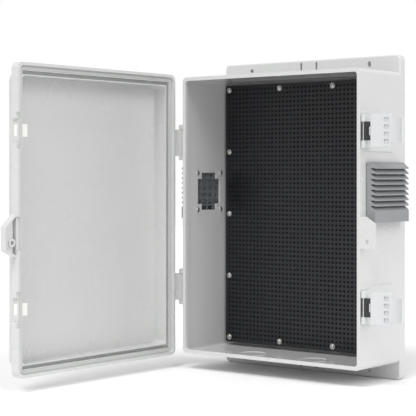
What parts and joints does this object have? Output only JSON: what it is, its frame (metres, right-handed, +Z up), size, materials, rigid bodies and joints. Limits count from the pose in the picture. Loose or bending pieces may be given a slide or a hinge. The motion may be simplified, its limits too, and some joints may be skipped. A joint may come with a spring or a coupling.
{
  "type": "irrigation controller enclosure",
  "caption": "Wall-mounted outdoor controller box with hinged door, draw latches, black mounting plate and louvred side vents.",
  "frame": {"origin": "centre of the wall face, on the wall plane", "axes": "+Z up, +Y into the wall, +X to the right seen from the front"},
  "size_m": [0.6365, 0.668, 0.677],
  "materials": {
    "case_abs": "satin",
    "plate_abs": "satin",
    "brass": "satin",
    "stainless": "polished",
    "hood_plastic": "matte",
    "seal_foam": "matte",
    "black_nylon": "satin",
    "steel_mesh": "satin",
    "hinge_plastic": "satin",
    "latch_plastic": "satin",
    "gasket_foam": "matte",
    "keeper_plastic": "satin"
  },
  "bodies": {
    "enclosure": {"box_shell": "case_abs", "mounting_plate": "plate_abs", "plate_inserts": "brass", "plate_washers": "stainless", "plate_screws": "stainless", "vent_hood_right": "hood_plastic", "vent_seal_right": "seal_foam", "vent_guard_right": "black_nylon", "vent_screen_right": "steel_mesh", "vent_screws_right": "stainless", "vent_hood_left": "hood_plastic", "vent_seal_left": "seal_foam", "vent_guard_left": "black_nylon", "vent_screen_left": "steel_mesh", "vent_screws_left": "stainless", "hinge_bracket_upper": "hinge_plastic", "hinge_bracket_lower": "hinge_plastic", "hinge_pin_upper": "stainless", "hinge_pin_lower": "stainless", "hinge_bracket_screws": "stainless", "latch_base_upper": "latch_plastic", "latch_base_lower": "latch_plastic", "latch_pin_upper": "stainless", "latch_pin_lower": "stainless", "latch_base_screws": "stainless"},
    "door": {"door_shell": "case_abs", "door_gasket": "gasket_foam", "hinge_leaf_screws": "stainless", "hinge_leaf_upper": "hinge_plastic", "hinge_leaf_lower": "hinge_plastic", "keeper_upper": "keeper_plastic", "keeper_lower": "keeper_plastic"},
    "link_upper": {"latch_link_upper": "black_nylon"},
    "lever_upper": {"latch_lever_upper": "latch_plastic", "latch_hook_upper": "black_nylon", "lever_pin_upper": "stainless"},
    "link_lower": {"latch_link_lower": "black_nylon"},
    "lever_lower": {"latch_lever_lower": "latch_plastic", "latch_hook_lower": "black_nylon", "lever_pin_lower": "stainless"}
  },
  "joints": [
    {"name": "door_hinge", "type": "hinge", "parent": "enclosure", "child": "door", "pos_m": [-0.246, -0.157, 0], "axis": [0, 0, 1], "range_deg": [-90, 90]},
    {"name": "link_upper_hinge", "type": "hinge", "parent": "enclosure", "child": "link_upper", "pos_m": [0.2355, -0.1685, 0.1755], "axis": [0, 0, 1], "range_deg": [-90, 0]},
    {"name": "lever_upper_hinge", "type": "hinge", "parent": "link_upper", "child": "lever_upper", "pos_m": [0.2555, -0.1685, 0.1755], "axis": [0, 0, 1], "range_deg": [0, 180]},
    {"name": "link_lower_hinge", "type": "hinge", "parent": "enclosure", "child": "link_lower", "pos_m": [0.2355, -0.1685, -0.1755], "axis": [0, 0, 1], "range_deg": [-90, 0]},
    {"name": "lever_lower_hinge", "type": "hinge", "parent": "link_lower", "child": "lever_lower", "pos_m": [0.2555, -0.1685, -0.1755], "axis": [0, 0, 1], "range_deg": [0, 180]}
  ],
  "couplings": [
    {"joint": "lever_upper_hinge", "follows": "link_upper_hinge", "ratio": -2},
    {"joint": "lever_lower_hinge", "follows": "link_lower_hinge", "ratio": -2}
  ]
}
